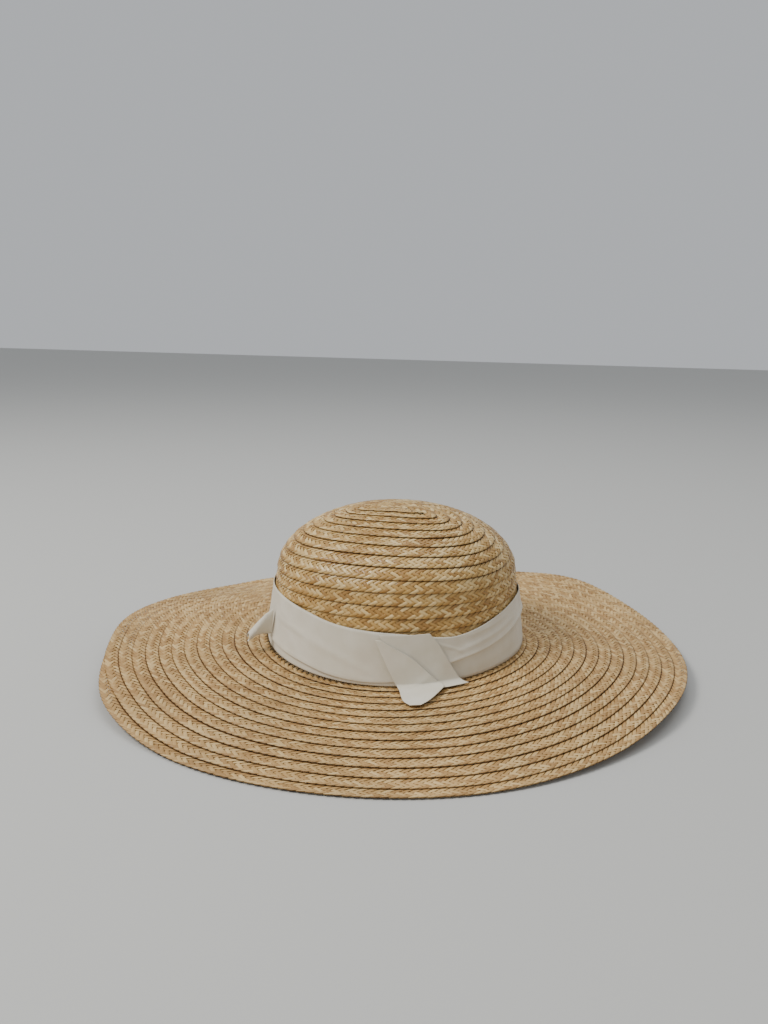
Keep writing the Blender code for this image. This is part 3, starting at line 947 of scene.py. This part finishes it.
def make_floor():
    size = 6.0
    floor = new_mesh_object(
        "floor", [(-size, -size, 0), (size, -size, 0), (size, size, 0), (-size, size, 0)], [(0, 1, 2, 3)]
    )
    look = bpy.data.materials.new("floor_paint")
    look.use_nodes = True
    shader = look.node_tree.nodes["Principled BSDF"]
    shader.inputs["Base Color"].default_value = (0.50, 0.50, 0.48, 1.0)
    shader.inputs["Roughness"].default_value = 0.75
    floor.data.materials.append(look)


def area_light(name, place, aim, size, power, color=(1.0, 1.0, 1.0)):
    light = bpy.data.lights.new(name, "AREA")
    light.size = size
    light.energy = power
    light.color = color
    made = bpy.data.objects.new(name, light)
    made.location = place
    made.rotation_euler = (Vector(aim) - Vector(place)).to_track_quat("-Z", "Y").to_euler()
    bpy.context.scene.collection.objects.link(made)


def make_lights():
    world = bpy.data.worlds.new("studio")
    world.use_nodes = True
    world.node_tree.nodes["Background"].inputs["Color"].default_value = (0.93, 0.96, 1.0, 1.0)
    world.node_tree.nodes["Background"].inputs["Strength"].default_value = 0.55
    bpy.context.scene.world = world
    area_light("window", (-1.1, -0.9, 1.7), (0, 0, 0.05), 0.7, 36.0, (1.0, 0.98, 0.95))
    area_light("ceiling", (0.2, 0.4, 2.2), (0, 0, 0), 1.6, 16.0)


# The camera stands at the photograph's angle to the hat
CAMERA_PLACE = (0.18777, -0.60316, 0.24756)
CAMERA_TURN = 17.212
CAMERA_DOWN = 12.223
CAMERA_ROLL = 1.032
CAMERA_LENS = 29.883
CAMERA_SHIFT = -0.01273


def make_camera():
    data = bpy.data.cameras.new("camera")
    data.lens = CAMERA_LENS
    data.sensor_width = 36.0
    data.shift_x = CAMERA_SHIFT
    made = bpy.data.objects.new("camera", data)
    turned = (
        Matrix.Rotation(math.radians(CAMERA_TURN), 4, "Z")
        @ Matrix.Rotation(math.radians(90.0 - CAMERA_DOWN), 4, "X")
        @ Matrix.Rotation(math.radians(CAMERA_ROLL), 4, "Z")
    )
    made.matrix_world = Matrix.Translation(CAMERA_PLACE) @ turned
    bpy.context.scene.collection.objects.link(made)
    bpy.context.scene.camera = made


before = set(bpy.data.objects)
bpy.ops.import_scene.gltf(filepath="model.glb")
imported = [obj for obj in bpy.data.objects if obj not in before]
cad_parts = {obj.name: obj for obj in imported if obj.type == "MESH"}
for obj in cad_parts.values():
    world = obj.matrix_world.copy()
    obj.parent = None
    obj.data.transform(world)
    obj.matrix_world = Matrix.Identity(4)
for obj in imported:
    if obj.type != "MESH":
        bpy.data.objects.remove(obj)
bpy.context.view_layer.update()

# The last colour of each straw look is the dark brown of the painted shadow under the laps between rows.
crown_straw = straw_material(
    "crown_straw", (0.33, 0.17, 0.045), (0.52, 0.32, 0.10), (0.80, 0.60, 0.29), 0.31, (0.10, 0.035, 0.006)
)
brim_straw = straw_material(
    "brim_straw", (0.34, 0.185, 0.06), (0.50, 0.31, 0.115), (0.68, 0.48, 0.22), 0.48, (0.10, 0.035, 0.006)
)
cotton = cotton_material()

cell = plait_cell()
group = plait_tree()
for name, node, start_row, end_row in PLAIT_PIECES:
    look = crown_straw if node == "crown" else brim_straw
    piece = sewn_plait(name, group, cell, look, start_row, end_row)
    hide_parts(node)
    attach(piece, "root")
bpy.data.objects.remove(cell, do_unlink=True)

band = hat_band(cotton)
flap = cloth_end(
    "band_flap_cloth",
    FLAP_SECTIONS,
    FLAP_LENGTH,
    FLAP_TOP_SHARE,
    0.0,
    FLAP_COLUMNS,
    flap_swell,
    cotton,
    pinked_end=True,
)
tail = cloth_end(
    "band_tail_cloth",
    TAIL_SECTIONS,
    TAIL_LENGTH,
    TAIL_TOP_SHARE,
    SHEET_WALL + GAP,
    TAIL_COLUMNS,
    tail_swell,
    cotton,
)
hood = side_tail(cotton)
for piece, node in ((band, "hat_band"), (flap, "band_flap"), (tail, "band_tail"), (hood, "side_tail")):
    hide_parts(node)
    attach(piece, "root")

make_floor()
make_lights()
make_camera()
